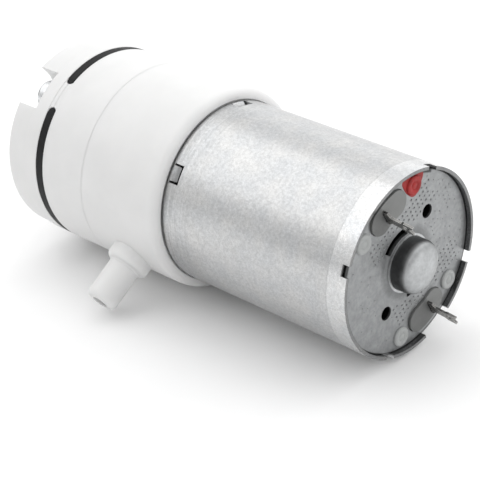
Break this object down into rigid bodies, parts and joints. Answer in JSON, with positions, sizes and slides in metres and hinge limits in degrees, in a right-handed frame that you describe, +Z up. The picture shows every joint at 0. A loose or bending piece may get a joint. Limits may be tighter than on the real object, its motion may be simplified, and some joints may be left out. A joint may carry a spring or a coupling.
{
  "type": "mini air pump",
  "caption": "Small cylindrical diaphragm air pump: a steel brushed motor drives a slanted-crank rocker and rubber cups in a round white head with a side nozzle and an end nozzle.",
  "frame": {"origin": "on the motor's axis, halfway along the steel can", "axes": "+X along the axis from the motor's terminals to the outlet nozzle, +Z up as the pump lies on its side, +Y towards the side nozzle"},
  "size_m": [0.0701, 0.0314, 0.0277],
  "materials": {
    "can_steel": "satin zinc with a fine mottled grain",
    "plate_steel": "grey stamped steel with fine pricks",
    "rivet_plastic": "pale grey, slightly waxy",
    "rivet_red": "red paint over a rivet",
    "holder_plastic": "mid grey moulded plastic",
    "terminal_tin": "tinned sheet",
    "leaf_copper": "bright copper alloy leaf",
    "brush_carbon": "matt carbon",
    "magnet_ferrite": "dark sintered ferrite",
    "clip_steel": "blued spring steel",
    "bush_bronze": "oiled sintered bronze",
    "screw_steel": "bright plated steel",
    "head_plastic": "white semi-matt moulded plastic",
    "rubber_black": "black moulded rubber",
    "valve_plastic": "white moulded plastic",
    "shaft_steel": "ground steel",
    "core_steel": "stacked steel sheets",
    "insulator_plastic": "blue-grey fibre board",
    "winding_copper": "enamelled copper wire",
    "hub_plastic": "brown thermoset",
    "bar_copper": "turned copper",
    "varistor_ceramic": "dark ceramic ring",
    "washer_plastic": "natural plastic",
    "drive_plastic": "natural plastic"
  },
  "bodies": {
    "pump": {"motor_can": "can_steel", "end_plate": "plate_steel", "plate_rivets": "rivet_plastic", "polarity_rivet": "rivet_red", "brush_holder": "holder_plastic", "terminals": "terminal_tin", "brush_arms": "leaf_copper", "carbon_brushes": "brush_carbon", "magnets": "magnet_ferrite", "magnet_clips": "clip_steel", "rear_bushing": "bush_bronze", "front_bushing": "bush_bronze", "motor_screws": "screw_steel", "crankcase": "head_plastic", "diaphragm_seat": "head_plastic", "diaphragm": "rubber_black", "valve_plate": "valve_plastic", "inlet_valves": "rubber_black", "outlet_valve": "rubber_black", "seal_ring": "rubber_black", "cover": "head_plastic", "cover_screws": "screw_steel"},
    "rotor": {"shaft": "shaft_steel", "armature_core": "core_steel", "core_insulators": "insulator_plastic", "windings": "winding_copper", "commutator_hub": "hub_plastic", "commutator_bars": "bar_copper", "varistor": "varistor_ceramic", "thrust_washers": "washer_plastic", "eccentric": "drive_plastic", "crank_pin": "shaft_steel"},
    "rocker": {"rocker": "drive_plastic"}
  },
  "joints": [
    {"name": "shaft_spin", "type": "hinge", "parent": "pump", "child": "rotor", "pos_m": [0, 0, 0], "axis": [1, 0, 0], "continuous": true},
    {"name": "rocker_wobble", "type": "hinge", "parent": "rotor", "child": "rocker", "pos_m": [0.03, 0, 0], "axis": [0.9962, 0.0255, -0.0833], "continuous": true, "deforming": ["diaphragm"]}
  ],
  "couplings": [
    {"joint": "rocker_wobble", "follows": "shaft_spin", "ratio": -1}
  ]
}
